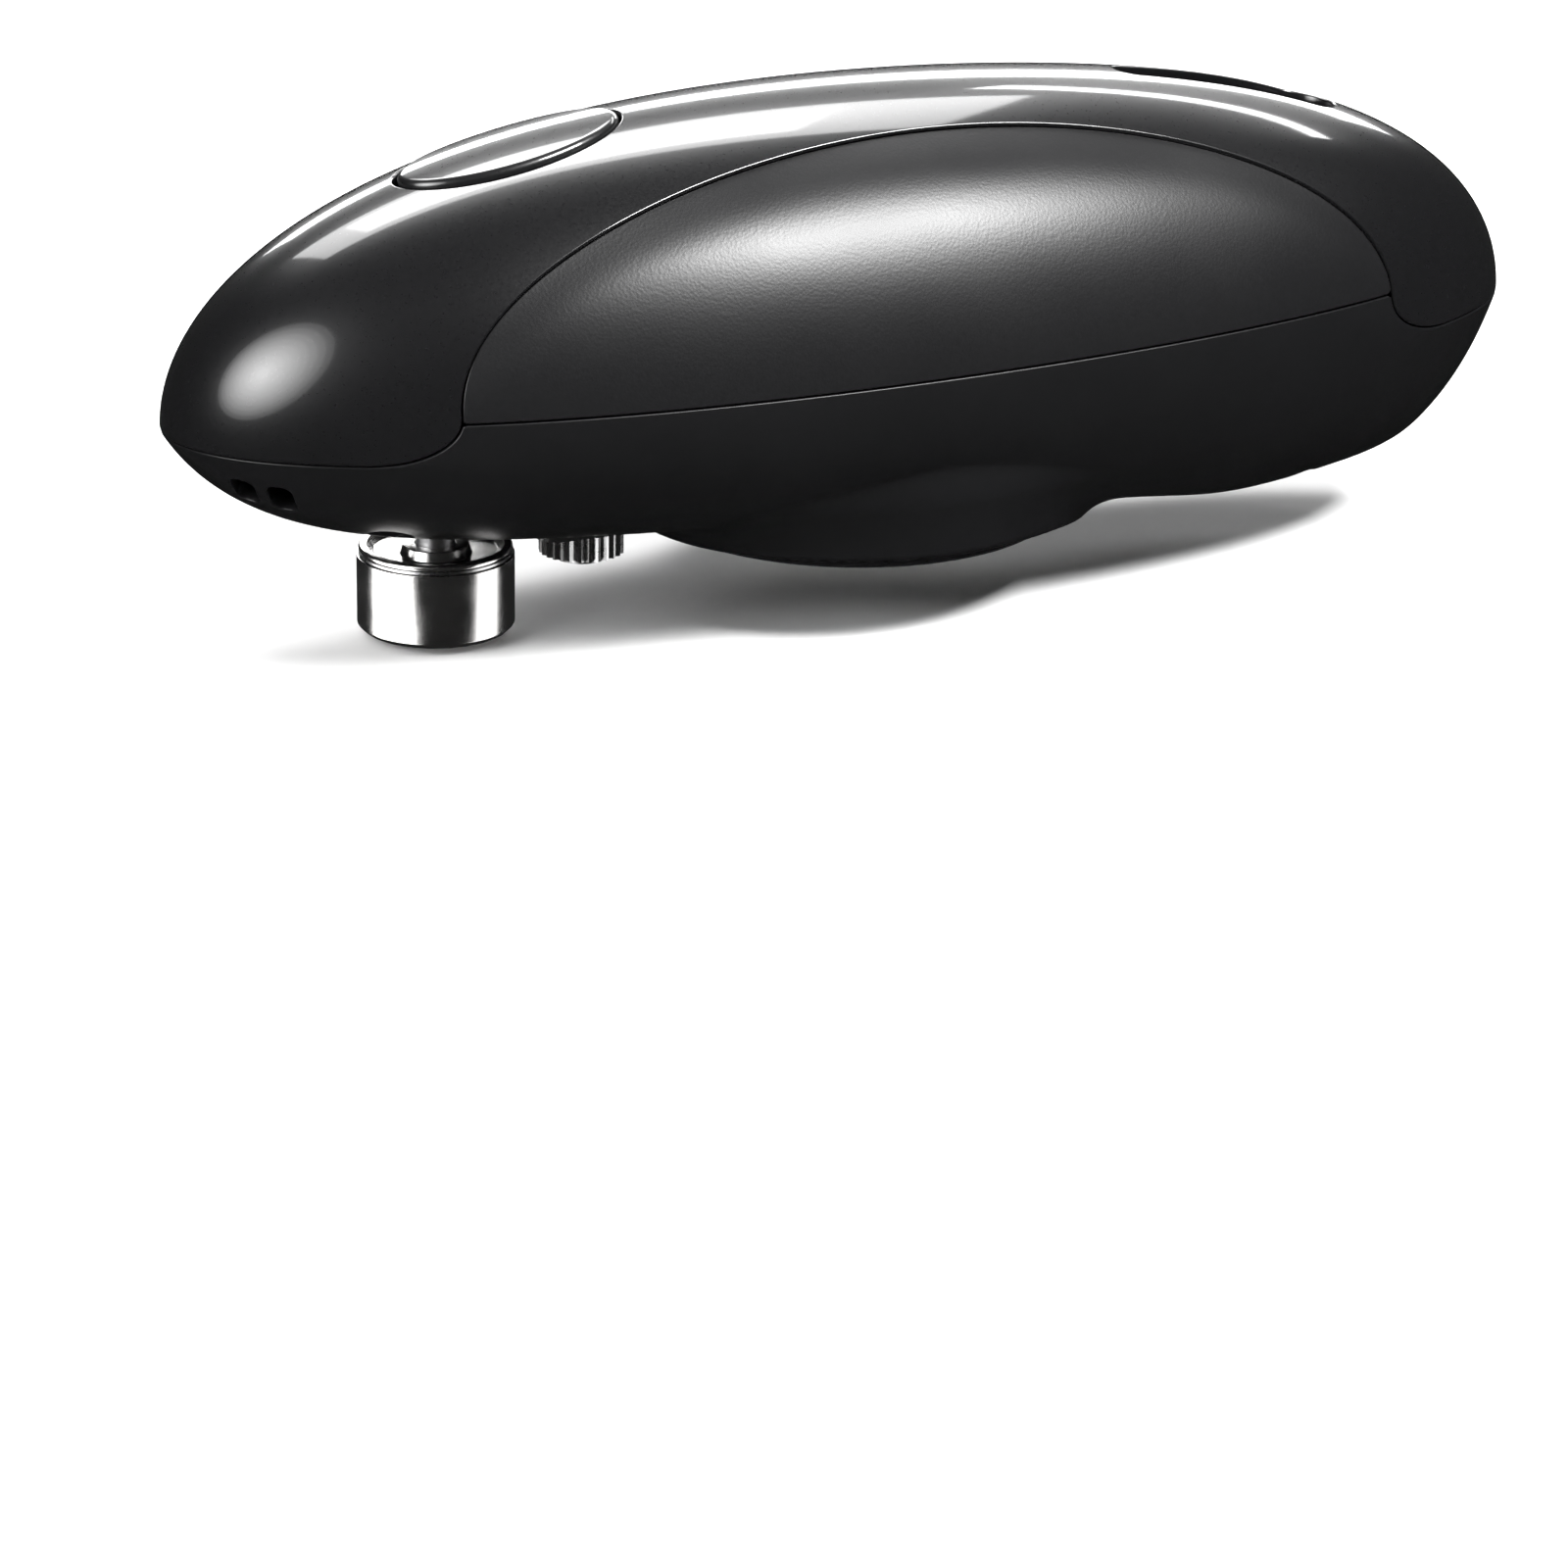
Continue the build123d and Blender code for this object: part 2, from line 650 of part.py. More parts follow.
# ---------------------------------------------------------------- all parts
def build_parts():
    parts = {}
    parts["top_cover"] = make_top_cover()
    parts["side_panel_left"], parts["side_panel_right"] = make_side_panels()
    parts["lower_shell"] = make_lower_shell()
    parts["pedestal_disc"] = make_pedestal()
    plate = prism(wear_plan(0), 0.0, wear_plate_thick)
    parts["wear_plate"] = plate - rod(drive_shaft_r + 0.6, -3, 3, drive_at)
    for number, at in enumerate(case_screw_at, 1):
        parts[f"case_screw_{number}"] = make_case_screw(at)

    # controls
    parts["start_button"] = make_button()
    spring_low = switch_plate_z + switch_plate_thick
    parts["button_spring"] = coil(5.0, 0.3, spring_low, 44.6, 4.5, (button_x, 0))
    parts["switch_bracket"] = make_switch_bracket()
    parts["tact_switch"] = block(button_x - 3, button_x + 3, -3, 3, spring_low, switch_top)
    parts["indicator_window"] = make_window()
    pipe = rod(1.8, board_z + board_thick + 1.2, 60, (window_end, 0))
    parts["light_pipe"] = pipe & dome_solid(wall + 0.5, equator_z)
    parts["indicator_led"] = rod(1.5, board_z + board_thick, board_z + board_thick + 1.0, (window_end, 0))

    # gearbox and motor
    parts["gearbox_plate"] = make_gearbox_plate()
    parts["gearbox_bridge"] = make_bridge()
    for number, at in enumerate(pillar_at, 1):
        parts[f"gearbox_pillar_{number}"] = rod(pillar_r, plate_z + plate_thick, bridge_z, at)
    parts["lay_pin_a"] = rod(lay_pin_r, plate_z, bridge_z + bridge_thick, lay_a_at)
    parts["lay_pin_b"] = rod(lay_pin_r, plate_z, bridge_z + bridge_thick, lay_b_at)
    parts["motor_case"] = make_motor_case()
    motor_top = motor_bottom + motor_length
    parts["motor_end_cap"] = rod(motor_r - 4.5, motor_top, motor_top + 1.0, motor_at)
    parts["motor_shaft"] = rod(motor_shaft_r, gear_level_motor - 0.2, motor_bottom + 6.0, motor_at)
    level_motor = (gear_level_motor, gear_face_motor)
    level_mid = (gear_level_mid, gear_face_mid)
    level_feed = (gear_level_feed, gear_face_feed)
    parts["motor_pinion"] = wheel(stage_motor, False, motor_shaft_r, *level_motor, motor_at)
    parts["layshaft_a"] = make_layshaft(stage_motor, stage_mid, level_motor, level_mid, lay_a_at, web_a_r)
    parts["layshaft_b"] = make_layshaft(stage_mid, stage_feed, level_mid, level_feed, lay_b_at, web_b_r)
    parts["drive_gear"] = wheel(stage_feed, True, drive_shaft_r, *level_feed, drive_at)
    parts["drive_shaft"] = rod(drive_shaft_r, feed_bottom, bridge_z + bridge_thick, drive_at)
    parts["feed_wheel"] = make_feed_wheel()
    parts["feed_screw"] = rod(feed_r - 2.2, feed_bottom - 0.9, feed_bottom, drive_at)

    # cutter side
    pivot = (roller_x, arm_pivot_y)
    parts["swing_arm"] = make_swing_arm()
    parts["arm_pivot_pin"] = make_pivot_pin()
    parts["arm_spring"] = coil(2.5, 0.3, arm_z + arm_thick + 0.3, arm_z + arm_thick + 4.9, 4, pivot)
    parts["roller_shaft"] = rod(roller_shaft_r, roller_bottom - 0.1, arm_z + arm_thick, (roller_x, 0))
    parts["roller_nut"] = rod(4.0, arm_z + arm_thick, arm_z + arm_thick + 0.8, (roller_x, 0))
    parts["roller_screw"] = rod(3.65, roller_bottom - 0.8, roller_bottom - 0.1, (roller_x, 0))
    parts["roller_drum"] = make_roller_drum()
    disc_low = roller_groove - 0.15
    parts["cutter_disc"] = ring(roller_r - 0.2, roller_r - 0.8, disc_low, disc_low + 0.3, (roller_x, 0))

    # power
    parts["cell"] = lengthways(cell_r, cell_start_x, cell_end_x, cell_z)
    parts["cell_holder"] = make_cell_holder()
    parts["cell_contact_front"] = lengthways(contact_r, cell_start_x - 0.4, cell_start_x, cell_z)
    parts["cell_contact_rear"] = lengthways(contact_r, cell_end_x, cell_end_x + 0.8, cell_z)
    board_top = board_z + board_thick
    board = block(board_start_x, board_end_x, -board_half_width, board_half_width, board_z, board_top)
    parts["control_board"] = board - rod(motor_r + 0.5, 0, 60, motor_at)
    parts["board_parts"] = make_board_parts()
    half_w = port_width / 2
    half_h = port_height / 2
    socket = block(socket_start, socket_end, -half_w, half_w, port_z - half_h, port_z + half_h)
    socket -= block(86.5, 95, -half_w + 0.4, half_w - 0.4, port_z - half_h + 0.4, port_z + half_h - 0.4)
    parts["charge_socket"] = socket + block(86.4, 90.2, -1.9, 1.9, port_z - 0.35, port_z + 0.35)
    parts["socket_board"] = block(84.4, 86.6, -5, 5, port_z - half_h - 1.2, port_z - half_h) & bowl_room

    # lid magnet on its short sprung travel
    parts["magnet_cup"] = make_magnet_cup()
    magnet_top = pedestal_low + magnet_thick
    parts["lid_magnet"] = rod(magnet_r - 0.8, pedestal_low + 0.9, magnet_top, (pedestal_x, 0))
    parts["magnet_spring"] = coil(5.0, 0.25, magnet_top, magnet_travel - 0.5, 2.5, (pedestal_x, 0))
    return parts


os.makedirs("parts", exist_ok=True)
for name, shape in build_parts().items():
    solids = shape.solids()
    whole = Compound(solids) if len(solids) > 1 else solids[0]
    export_step(whole, f"parts/{name}.step")
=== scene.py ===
import json
import math

import bpy
import numpy as np
from mathutils import Matrix, Vector


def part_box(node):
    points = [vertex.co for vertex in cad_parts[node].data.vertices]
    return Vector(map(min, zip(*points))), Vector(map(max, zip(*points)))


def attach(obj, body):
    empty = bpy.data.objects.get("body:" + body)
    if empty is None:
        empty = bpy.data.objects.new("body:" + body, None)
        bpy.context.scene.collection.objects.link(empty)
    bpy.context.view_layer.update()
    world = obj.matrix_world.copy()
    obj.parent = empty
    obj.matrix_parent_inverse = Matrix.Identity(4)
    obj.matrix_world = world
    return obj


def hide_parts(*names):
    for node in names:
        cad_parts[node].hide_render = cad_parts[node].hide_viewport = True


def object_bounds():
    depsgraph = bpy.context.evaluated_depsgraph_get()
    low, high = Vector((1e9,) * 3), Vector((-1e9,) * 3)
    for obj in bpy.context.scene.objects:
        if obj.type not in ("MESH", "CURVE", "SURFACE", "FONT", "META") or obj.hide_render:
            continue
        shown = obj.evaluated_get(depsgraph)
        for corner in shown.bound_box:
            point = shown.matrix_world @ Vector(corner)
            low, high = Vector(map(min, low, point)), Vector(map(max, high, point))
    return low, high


# Looks of a one-touch electric can opener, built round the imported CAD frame.
# Shapes are worked out in millimetres in the frame's own axes and scaled when a mesh is made.
# X runs from the nose (-) to the tail (+), Z is up, and Y = 0 is the symmetry plane.

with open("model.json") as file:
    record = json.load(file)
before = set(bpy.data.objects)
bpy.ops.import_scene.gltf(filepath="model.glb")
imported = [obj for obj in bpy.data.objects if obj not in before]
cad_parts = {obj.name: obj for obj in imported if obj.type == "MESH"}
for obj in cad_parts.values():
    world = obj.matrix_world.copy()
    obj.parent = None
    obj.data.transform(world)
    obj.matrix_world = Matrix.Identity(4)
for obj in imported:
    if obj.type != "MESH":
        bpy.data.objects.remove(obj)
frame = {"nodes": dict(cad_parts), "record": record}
cad_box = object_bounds()
MM = 0.001


def box_mm(node):
    low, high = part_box(node)
    return np.array(low) / MM, np.array(high) / MM


def centre_mm(node):
    low, high = box_mm(node)
    return (low + high) / 2


# ---------------------------------------------------------------- sizes, in millimetres
# body
half_length = box_mm("top_cover")[1][0]
half_width = 32.8
equator = 17.6  # height of the cover's lower edge at the nose and the tail
dome_rise = 36.4
bowl_drop = 18.1
bowl_edge = 1.04
bowl_rim = math.sqrt(1 - bowl_edge**-4)
wall = 2.0

# seams, as seen from the side
seam_gap = 0.2
seam_z = 23.3
seam_slope = math.tan(math.radians(0.5))
arc_half = 66.0
arc_rise = 26.6
corner_length = 11.0  # the S curve that drops from the arc to the cover's edge
corner_height = 5.9
arc_z = equator + corner_height
corner_x = arc_half + corner_length
corner_soft = 0.12

# rounded lips along the cut edges
cover_lip = 0.3
panel_lip = 0.18
lower_lip = 0.22
button_lip = 1.1
window_lip = 0.35

# underside
feed_x = centre_mm("feed_wheel")[0]
roller_x = centre_mm("roller_drum")[0]
pedestal_x = centre_mm("pedestal_disc")[0]
pedestal_top = box_mm("pedestal_disc")[1][2]
boss_r = 30.0
plate_low, plate_high = box_mm("wear_plate")
plate_top = plate_high[2]
pad_half = 8.5
pad_corner = 3.0
pad_edge_soft = 0.6
pad_soft = 1.0
roller_bore = 2.55
pedestal_bore = 8.4

# button and window
button_x = centre_mm("start_button")[0]
button_half = np.array([14.7, 8.1])
button_gap = 0.35
button_proud = 0.5
button_skirt = 4.6
window_low, window_high = box_mm("indicator_window")
window_narrow = 2.6
window_wide = 5.2
window_clear = 0.12
window_depth = 1.3
window_thick = 1.0
window_start = window_low[0] - window_clear + window_narrow
window_end = window_high[0] + window_clear - window_wide


# ---------------------------------------------------------------- shape formulas
def width_shape(x):
    return 1 - 0.028 * x + 0.077 * x**2


def dome_shape(x):
    return 1 - 0.048 * x + 0.142 * x**2 + 0.060 * x**3


def bowl_shape(x):
    return 1 + 0.456 * x + 0.651 * x**2


def smooth_min(a, b, k):
    h = np.clip(0.5 + 0.5 * (b - a) / k, 0, 1)
    return b * (1 - h) + a * h - k * h * (1 - h)


def smooth_max(a, b, k):
    return -smooth_min(-a, -b, k)


def smooth_step(low, high, value):
    t = np.clip((value - low) / (high - low), 0, 1)
    return t * t * (3 - 2 * t)


def sphere(uv):
    """Points of a unit sphere spread over a flat square, with no seam and no pole inside it."""
    u, v = uv[:, 0], uv[:, 1]
    d = 1 + u * u + v * v
    return 2 * u / d, 2 * v / d, (2 - d) / d


def dome(uv):
    x, y, z = sphere(uv)
    across = half_width * width_shape(x) * y
    return np.stack([half_length * x, across, equator + dome_rise * dome_shape(x) * z], 1)


def dome_height(x, y, inset):
    u = x / (half_length - inset)
    v = y / ((half_width - inset) * width_shape(u))
    return equator + (dome_rise - inset) * dome_shape(u) * np.sqrt(np.maximum(1 - u * u - v * v, 0))


def ellipse_distance(x, y, a, b):
    """Roughly the distance outside an ellipse: exact on it, and right in slope."""
    f = np.hypot(x / a, y / b) + 1e-9
    slope = np.hypot(x / a**2, y / b**2) / f + 1e-9
    return (f - 1) / slope


def taper_distance(x, y, start, end, narrow, wide):
    """Distance outside the hull of two circles on the X axis."""
    length = end - start
    b = (narrow - wide) / length
    a = math.sqrt(1 - b * b)
    px, py = np.abs(y), x - start
    k = -b * px + a * py
    side = a * px + b * py - narrow
    start_cap = np.hypot(px, py) - narrow
    end_cap = np.hypot(px, py - length) - wide
    return np.where(k < 0, start_cap, np.where(k > a * length, end_cap, side))


def round_box_distance(x, y, half_x, half_y, radius):
    dx = np.abs(x) - half_x + radius
    dy = np.abs(y) - half_y + radius
    return np.hypot(np.maximum(dx, 0), np.maximum(dy, 0)) + np.minimum(np.maximum(dx, dy), 0) - radius


def cover_side(p):
    """Signed distance, seen from the side, to the line where the cover ends. Positive on the cover."""
    x, z = np.abs(p[:, 0]), p[:, 2]
    arc = ellipse_distance(p[:, 0], z - arc_z, arc_half, arc_rise)
    corner = -ellipse_distance(x - corner_x, z - arc_z, corner_length, arc_z - equator)
    return np.where(z >= arc_z, arc, np.where(x < corner_x, corner, z - equator))


def cover_field(p):
    edge = cover_side(p) - seam_gap / 2
    button = ellipse_distance(p[:, 0] - button_x, p[:, 1], *(button_half + button_gap))
    window = taper_distance(p[:, 0], p[:, 1], window_start, window_end, window_narrow, window_wide)
    return np.minimum(edge, np.minimum(button, window))


def panel_field(side):
    def field(p):
        arc = -ellipse_distance(p[:, 0], p[:, 2] - arc_z, arc_half, arc_rise) - seam_gap / 2
        seam = p[:, 2] - seam_z - seam_slope * p[:, 0] - seam_gap / 2
        return np.minimum(smooth_min(arc, seam, corner_soft), side * p[:, 1] - panel_inner_y)
    return field


panel_sink = 0.45
panel_sink_width = 3.4
panel_sink_fade = 9.0
panel_inner_y = 5.0  # a panel lies wholly outside this distance from the symmetry plane


def panel_surface(uv):
    """The dome, sunk a little along the arc so that the panel swells away from the cover's edge."""
    p = dome(uv)
    n = grid_normals(dome, uv)
    d = np.maximum(-ellipse_distance(p[:, 0], p[:, 2] - arc_z, arc_half, arc_rise), 0)
    fade = smooth_step(seam_z, seam_z + panel_sink_fade, p[:, 2])
    sink = panel_sink * np.exp(-((d / panel_sink_width) ** 2)) * fade
    return p - n * sink[:, None]


# ---------------------------------------------------------------- lower shell, as a solid's distance
shell_centre = np.array([0.0, 0.0, 15.0])
rim_soft = 1.1  # blend of bowl into dome, gone between the two lengths that follow
rim_soft_start = 58.0
rim_soft_end = 76.0
belly_soft = 1.2
tail_soft = 3.0  # added to belly_soft from tail_soft_start on, in full at tail_soft_end
tail_soft_start = 40.0
tail_soft_end = 66.0
tail_droop = 3.4  # how far the belly hangs lower at the tail, likewise
tail_droop_start = 24.0
tail_droop_end = 50.0
boss_soft = 1.0
flare = 6.0  # blend of boss into flank, gone between the two heights that follow
flare_low = 5.5
flare_high = 12.0


def body_distance(p):
    """Roughly the distance outside the lower body: bowl, boss, pad and flat belly, with soft joins."""
    x, y, z = p[:, 0] / half_length, p[:, 1], p[:, 2] - equator
    across = half_width * width_shape(x)
    rho = np.hypot(x, y / across) + 1e-9
    spread = np.hypot(x / half_length, y / across**2) / rho
    deep = bowl_drop * bowl_shape(x)
    level = bowl_rim - z * (1 - bowl_rim) / deep
    bowl = level**2 + (rho / bowl_edge) ** 4 - 1
    slope = np.hypot(2 * level * (1 - bowl_rim) / deep, 4 * rho**3 / bowl_edge**4 * spread)
    bowl = bowl / np.maximum(slope, 1e-3)
    tall = dome_rise * dome_shape(x)
    dome_value = rho**2 + (z / tall) ** 2 - 1
    slope = np.hypot(2 * z / tall**2, 2 * rho * spread)
    dome_value = dome_value / np.maximum(slope, 1e-3)
    soft = rim_soft * (1 - smooth_step(rim_soft_start, rim_soft_end, np.abs(p[:, 0]))) + 1e-4
    body = smooth_max(bowl, dome_value, soft)
    belly = -p[:, 2] - tail_droop * smooth_step(tail_droop_start, tail_droop_end, p[:, 0])
    soft = belly_soft + tail_soft * smooth_step(tail_soft_start, tail_soft_end, p[:, 0])
    body = smooth_max(body, belly, soft)
    boss = np.hypot(p[:, 0] - pedestal_x, p[:, 1]) - boss_r
    boss = smooth_max(boss, pedestal_top - p[:, 2], boss_soft)
    body = smooth_min(body, boss, flare * (1 - smooth_step(flare_low, flare_high, p[:, 2])) + 1e-3)
    plate = (plate_low + plate_high) / 2
    pad = round_box_distance(p[:, 0] - plate[0], p[:, 1], pad_half, pad_half, pad_corner)
    pad = smooth_max(pad, plate_top - p[:, 2], pad_edge_soft)
    return smooth_min(body, pad, pad_soft)


def lower_surface(uv):
    """Where rays from inside the body leave it."""
    x, y, z = sphere(uv)
    rays = np.stack([half_length * x, half_width * y, -bowl_drop * z], 1)
    low = np.zeros(len(rays))
    high = np.full(len(rays), 2.0)
    for _ in range(26):
        middle = (low + high) / 2
        inside = body_distance(shell_centre + rays * middle[:, None]) < 0
        low = np.where(inside, middle, low)
        high = np.where(inside, high, middle)
    return shell_centre + rays * low[:, None]


def gradient(field, p, step=0.01):
    parts = []
    for axis in np.eye(3) * step:
        parts.append((field(p + axis) - field(p - axis)) / (2 * step))
    return np.stack(parts, 1)


def unit(v):
    return v / np.maximum(np.linalg.norm(v, axis=1, keepdims=True), 1e-12)


def grid_normals(surface, uv, step=1e-4):
    """Outward normals from the surface's own slopes."""
    du, dv = np.array([step, 0]), np.array([0, step])
    a = surface(uv + du) - surface(uv - du)
    b = surface(uv + dv) - surface(uv - dv)
    n = unit(np.cross(a, b))
    outward = np.sum(n * (surface(uv) - shell_centre), axis=1)
    return n * np.where(outward < 0, -1, 1)[:, None]


screw_wells = [centre_mm(f"case_screw_{k}")[:2] for k in range(1, 5)]
well_r = 3.0
slot_middle = np.array([roller_x + 1.75, 0.3])
slot_half = np.array([5.35, 3.9])
slot_corner = 2.0
magnet_hole_r = 8.6
shaft_hole_r = 3.05
port = centre_mm("charge_socket")
port_half = np.array([4.15, 1.8])
port_corner = 1.2
lanyard_at = np.array([-86.4, -9.9, 11.7])
lanyard_turn = Matrix.Rotation(math.radians(52), 3, "Z") @ Matrix.Rotation(math.radians(-38), 3, "Y")
lanyard_offset = 2.45
lanyard_half = np.array([1.65, 2.7])
lanyard_corner = 1.3
lanyard_reach = 6.0
hole_ceiling = 9.0  # holes in the belly cut only what lies below this
port_start = 80.0
far = 50.0


def lower_field(p):
    seam = seam_z + seam_slope * p[:, 0] - seam_gap / 2 - p[:, 2]
    cover = -cover_side(p) - seam_gap / 2
    edge = smooth_min(seam, cover, corner_soft)
    x, y, z = p[:, 0], p[:, 1], p[:, 2]
    low = np.where(z < hole_ceiling, 0, far)
    holes = [np.hypot(x - well[0], y - well[1]) - well_r for well in screw_wells]
    holes.append(round_box_distance(x - slot_middle[0], y - slot_middle[1], *slot_half, slot_corner))
    holes.append(np.hypot(x - pedestal_x, y) - magnet_hole_r)
    holes.append(np.hypot(x - feed_x, y) - shaft_hole_r)
    field = edge
    for hole in holes:
        field = np.minimum(field, hole + low)
    rear = np.where(x > port_start, 0, far)
    field = np.minimum(field, round_box_distance(y, z - port[2], *port_half, port_corner) + rear)
    local = (p - lanyard_at) @ np.array(lanyard_turn)
    near = np.where(np.abs(local[:, 0]) < lanyard_reach, 0, far)
    for turn in (-1, 1):
        across = local[:, 1] - turn * lanyard_offset
        slot = round_box_distance(across, local[:, 2], *lanyard_half, lanyard_corner)
        field = np.minimum(field, slot + near)
    return field


# ---------------------------------------------------------------- patches of surface
def spread(low, high, step):
    return np.linspace(low, high, int(round((high - low) / step)) + 1)


def patch_grid(us, vs):
    uu, vv = np.meshgrid(us, vs, indexing="ij")
    uv = np.stack([uu.ravel(), vv.ravel()], 1)
    m = len(vs)
    first = (np.arange(len(us) - 1)[:, None] * m + np.arange(m - 1)[None, :]).ravel()
    quads = np.stack([first, first + m, first + m + 1, first + 1], 1)
    return uv, quads


def clip_patch(surface, field, uv, quads):
    """Keeps the part of a patch where the field is positive, cutting each face on the line itself."""
    value = field(surface(uv))
    inside = value >= 0
    count = inside[quads].sum(1)
    faces = quads[count == 4].tolist()
    cuts = {}

    def cut(i, j):
        key = (min(i, j), max(i, j))
        if key not in cuts:
            cuts[key] = len(uv) + len(cuts)
        return cuts[key]

    for quad in quads[(count > 0) & (count < 4)].tolist():
        face = []
        for i, j in zip(quad, quad[1:] + quad[:1]):
            if inside[i]:
                face.append(i)
            if inside[i] != inside[j]:
                face.append(cut(i, j))
        faces.append(face)
    pairs = np.array(list(cuts), int).reshape(-1, 2)
    swap = ~inside[pairs[:, 0]]
    pairs[swap] = pairs[swap][:, ::-1]
    a, b = uv[pairs[:, 0]], uv[pairs[:, 1]]
    low, high = np.zeros(len(a)), np.ones(len(a))
    for _ in range(16):
        middle = (low + high) / 2
        good = field(surface(a + (b - a) * middle[:, None])) >= 0
        low = np.where(good, middle, low)
        high = np.where(good, high, middle)
    uv = np.concatenate([uv, a + (b - a) * low[:, None]])
    used = np.zeros(len(uv), bool)
    for face in faces:
        used[face] = True
    renumber = np.cumsum(used) - 1
    faces = [[int(renumber[i]) for i in face] for face in faces]
    return uv[used], faces


def boundary_edges(faces):
    directed = set()
    for face in faces:
        directed.update(zip(face, face[1:] + face[:1]))
    return [(i, j) for i, j in directed if (j, i) not in directed]


def oriented(faces, p, n):
    """Faces turned so that they face along the normals."""
    total = 0.0
    for face in faces[:: max(1, len(faces) // 50)]:
        a, b, c = p[face[0]], p[face[1]], p[face[2]]
        total += float(np.dot(np.cross(b - a, c - a), n[face[0]]))
    return faces if total > 0 else [face[::-1] for face in faces]


def make_object(name, p, faces, normals=None):
    mesh = bpy.data.meshes.new(name)
    mesh.from_pydata((p * MM).tolist(), [], faces)
    mesh.shade_smooth()
    if normals is not None:
        mesh.normals_split_custom_set_from_vertices(normals.tolist())
    mesh.update()
    obj = bpy.data.objects.new(name, mesh)
    bpy.context.scene.collection.objects.link(obj)
    return obj


def shell_piece(name, surface, field, us, vs, lip_r, depth, normal_field=None, steps=4):
    """A closed shell: an outer skin cut to a line, rounded lips round every edge, and an inner skin."""
    uv, quads = patch_grid(us, vs)
    uv, faces = clip_patch(surface, lambda q: field(q) - lip_r, uv, quads)
    p = surface(uv)
    n = unit(gradient(normal_field, p)) if normal_field else grid_normals(surface, uv)
    faces = oriented(faces, p, n)
    edges = boundary_edges(faces)
    rim = sorted({i for edge in edges for i in edge})
    place = {i: k for k, i in enumerate(rim)}
    rp, rn = p[rim], n[rim]
    out = -gradient(field, rp)
    out = unit(out - rn * np.sum(out * rn, axis=1, keepdims=True))
    rings, ring_normals = [], []
    for k in range(1, steps + 1):
        angle = math.pi / 2 * k / steps
        rings.append(rp + out * lip_r * math.sin(angle) - rn * lip_r * (1 - math.cos(angle)))
        ring_normals.append(rn * math.cos(angle) + out * math.sin(angle))
    rings.append(rp + out * lip_r - rn * depth)
    ring_normals.append(unit(out - rn))
    count, width = len(p), len(rim)
    inner_start = count + width * len(rings)
    points = np.concatenate([p, *rings, p - n * depth])
    normals = np.concatenate([n, *ring_normals, -n])
    every = [*faces, *[[i + inner_start for i in face[::-1]] for face in faces]]
    for i, j in edges:
        line_i = [i] + [count + width * r + place[i] for r in range(len(rings))] + [i + inner_start]
        line_j = [j] + [count + width * r + place[j] for r in range(len(rings))] + [j + inner_start]
        for r in range(len(line_i) - 1):
            every.append([line_j[r], line_i[r], line_i[r + 1], line_j[r + 1]])
    return make_object(name, points, every, normals)


# ---------------------------------------------------------------- turned pieces
def turned_piece(name, profile, at, segments=144, soft=0.12, arc_steps=4):
    """A closed turned piece from its outline in radius and height, with every corner rounded."""
    outline = []
    count = len(profile)
    for k in range(count):
        before, here, after = (np.array(profile[(k + d) % count], float) for d in (-1, 0, 1))
        a, b = before - here, after - here
        reach = min(soft, np.linalg.norm(a) * 0.4, np.linalg.norm(b) * 0.4)
        a, b = a / np.linalg.norm(a) * reach, b / np.linalg.norm(b) * reach
        for step in range(arc_steps + 1):
            t = step / arc_steps
            outline.append(here + a * (1 - t) ** 2 + b * t**2)
    outline = np.array(outline)
    turn = np.linspace(0, 2 * math.pi, segments, endpoint=False)
    rings = len(outline)
    points = np.stack([
        np.outer(np.cos(turn), outline[:, 0]) + at[0],
        np.outer(np.sin(turn), outline[:, 0]) + at[1],
        np.tile(outline[:, 1], (segments, 1)),
    ], 2).reshape(-1, 3)
    faces = []
    for s in range(segments):
        t = (s + 1) % segments
        for r in range(rings):
            q = (r + 1) % rings
            faces.append([s * rings + r, t * rings + r, t * rings + q, s * rings + q])
    area = np.sum(outline[:, 0] * np.roll(outline[:, 1], -1) - np.roll(outline[:, 0], -1) * outline[:, 1])
    if area < 0:
        faces = [face[::-1] for face in faces]
    return make_object(name, points, faces)


# ---------------------------------------------------------------- materials
plastic_ior = 1.46


def new_material(name, base, roughness, metallic=0.0, coat=0.0, coat_roughness=0.05, specular=0.5):
    material = bpy.data.materials.new(name)
    material.use_nodes = True
    nodes, links = material.node_tree.nodes, material.node_tree.links
    shader = nodes["Principled BSDF"]
    shader.inputs["Base Color"].default_value = (*base, 1)
    shader.inputs["Roughness"].default_value = roughness
    shader.inputs["Metallic"].default_value = metallic
    shader.inputs["Coat Weight"].default_value = coat
    shader.inputs["Coat Roughness"].default_value = coat_roughness
    shader.inputs["Specular IOR Level"].default_value = specular
    shader.inputs["IOR"].default_value = plastic_ior
    where = nodes.new("ShaderNodeTexCoord")
    return material, nodes, links, shader, where


def noise(nodes, links, vector, scale, detail=3.0, roughness=0.5):
    texture = nodes.new("ShaderNodeTexNoise")
    texture.inputs["Scale"].default_value = scale
    texture.inputs["Detail"].default_value = detail
    texture.inputs["Roughness"].default_value = roughness
    links.new(vector, texture.inputs["Vector"])
    return texture.outputs["Fac"]


def remap(nodes, links, value, low, high, from_low=0.3, from_high=0.7):
    node = nodes.new("ShaderNodeMapRange")
    node.inputs["From Min"].default_value = from_low
    node.inputs["From Max"].default_value = from_high
    node.inputs["To Min"].default_value = low
    node.inputs["To Max"].default_value = high
    links.new(value, node.inputs["Value"])
    return node.outputs["Result"]


